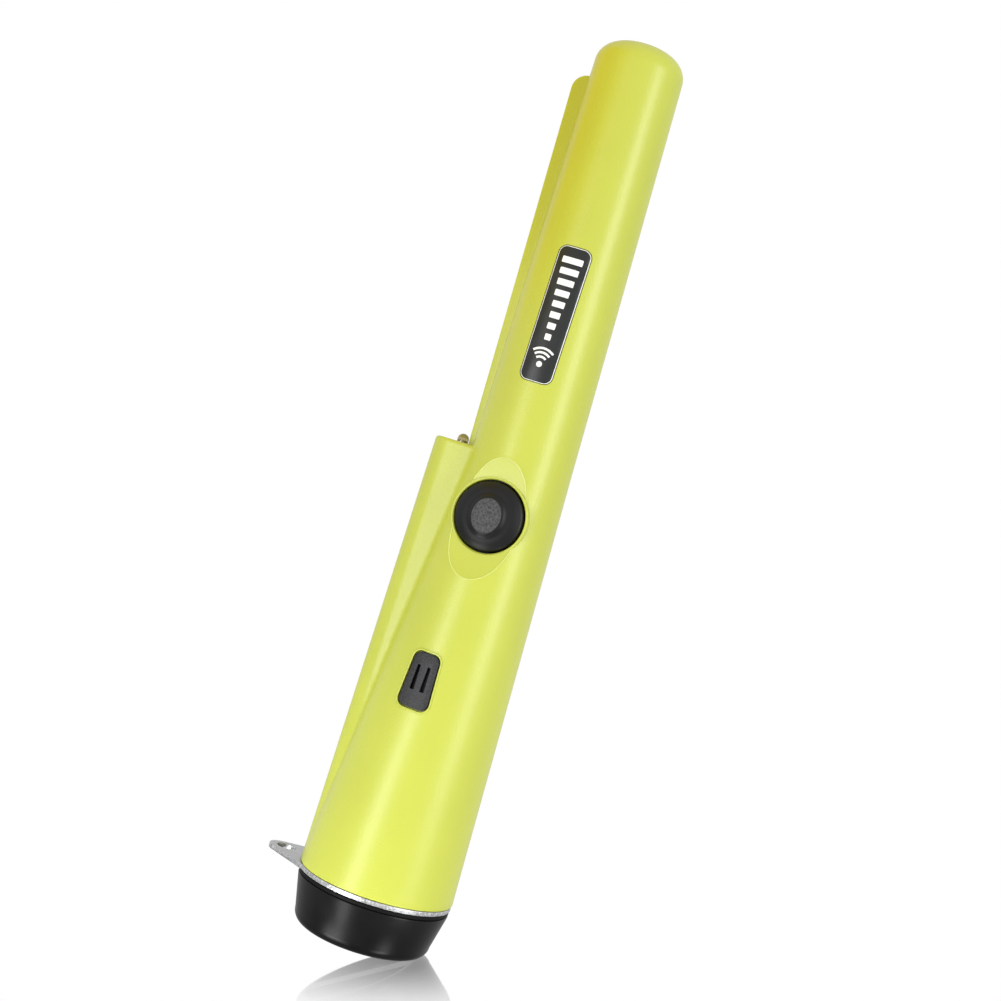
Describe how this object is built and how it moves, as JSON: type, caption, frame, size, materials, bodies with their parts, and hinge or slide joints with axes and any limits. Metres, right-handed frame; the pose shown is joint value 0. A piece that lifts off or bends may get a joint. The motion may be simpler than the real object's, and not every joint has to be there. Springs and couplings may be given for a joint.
{
  "type": "metal detecting pinpointer probe",
  "caption": "Handheld pinpointer probe with a tapered handle, slim coil tube, scraper fin, thumb button, lamp, lanyard ring and screw battery cap.",
  "frame": {"origin": "centre of the grip bar on the battery cap's bottom", "axes": "+Z from the battery cap to the probe tip; the button, label and grille face -Y; the lamp hump, scraper fin and lanyard lug are on -X"},
  "size_m": [0.0512, 0.0408, 0.24],
  "materials": {
    "lime": "satin, faintly translucent lime moulding",
    "black_plastic": "fine-textured black moulding",
    "button_rubber": "smooth soft-touch rubber with a stippled centre",
    "seal_rubber": "plain black seal rubber",
    "grille_grey": "fine-textured dark grey plastic",
    "label_black": "satin printed panel with plain pale marks",
    "lens": "clear water-white epoxy lamp",
    "stamped_steel": "bright stamped steel with a sheared edge",
    "small_steel": "nickel-plated steel",
    "copper": "enamelled copper wire and brass",
    "board_green": "solder-masked glass-fibre board",
    "ferrite": "sintered ferrite",
    "foam": "closed-cell foam",
    "natural_plastic": "natural nylon moulding",
    "battery_jacket": "plain blue shrink sleeve",
    "wire_red": "PVC insulation"
  },
  "bodies": {
    "housing": {"probe_housing": "lime", "speaker_grille": "grille_grey", "label_panel": "label_black", "led_lens": "lens", "led_holder": "black_plastic", "led_lead_anode": "small_steel", "led_lead_cathode": "small_steel", "battery": "battery_jacket", "battery_stud_terminal": "small_steel", "battery_socket_terminal": "small_steel", "contact_socket": "small_steel", "contact_stud": "small_steel", "contact_block": "natural_plastic", "battery_wire_red": "wire_red", "battery_wire_black": "black_plastic", "circuit_board": "board_green", "chassis_rail": "natural_plastic", "chassis_screw_1": "small_steel", "chassis_screw_2": "small_steel", "chassis_screw_3": "small_steel", "controller_chip": "black_plastic", "amplifier_chip": "black_plastic", "quartz_crystal": "small_steel", "storage_capacitor": "black_plastic", "button_retainer": "natural_plastic", "tact_switch_body": "black_plastic", "buzzer_case": "black_plastic", "buzzer_disc": "copper", "grille_felt": "foam", "motor_case": "small_steel", "coil_bobbin": "natural_plastic", "ferrite_rod": "ferrite", "transmit_winding": "copper", "receive_winding": "copper", "tip_cushion": "foam"},
    "button": {"power_button": "button_rubber"},
    "switch_plunger": {"tact_switch_plunger": "grille_grey"},
    "gasket": {"ring_gasket": "seal_rubber"},
    "ring": {"lanyard_ring": "stamped_steel"},
    "cap": {"battery_cap": "black_plastic", "cap_pad": "foam"},
    "motor_rotor": {"motor_shaft": "small_steel", "eccentric_weight": "copper"}
  },
  "joints": [
    {"name": "button_press", "type": "slide", "parent": "housing", "child": "button", "axis": [0, 1, 0], "range_m": [0, 0.0008], "stiffness_N_per_m": 1500},
    {"name": "plunger_press", "type": "slide", "parent": "housing", "child": "switch_plunger", "axis": [0, 1, 0], "range_m": [0, 0.0008]},
    {"name": "gasket_slide", "type": "slide", "parent": "housing", "child": "gasket", "axis": [0, 0, -1], "range_m": [0, 0.00902]},
    {"name": "cap_turn", "type": "hinge", "parent": "gasket", "child": "cap", "pos_m": [0, 0, 0], "axis": [0, 0, -1], "range_deg": [0, 1080]},
    {"name": "ring_swivel", "type": "hinge", "parent": "gasket", "child": "ring", "pos_m": [0, 0, 0], "axis": [0, 0, 1], "continuous": true},
    {"name": "motor_spin", "type": "hinge", "parent": "housing", "child": "motor_rotor", "pos_m": [0.00193, 0.0059, 0.0899], "axis": [0, 0, 1], "continuous": true}
  ],
  "couplings": [
    {"joint": "plunger_press", "follows": "button_press", "ratio": 1},
    {"joint": "gasket_slide", "follows": "cap_turn", "m_per_rad": 0.00047746}
  ]
}
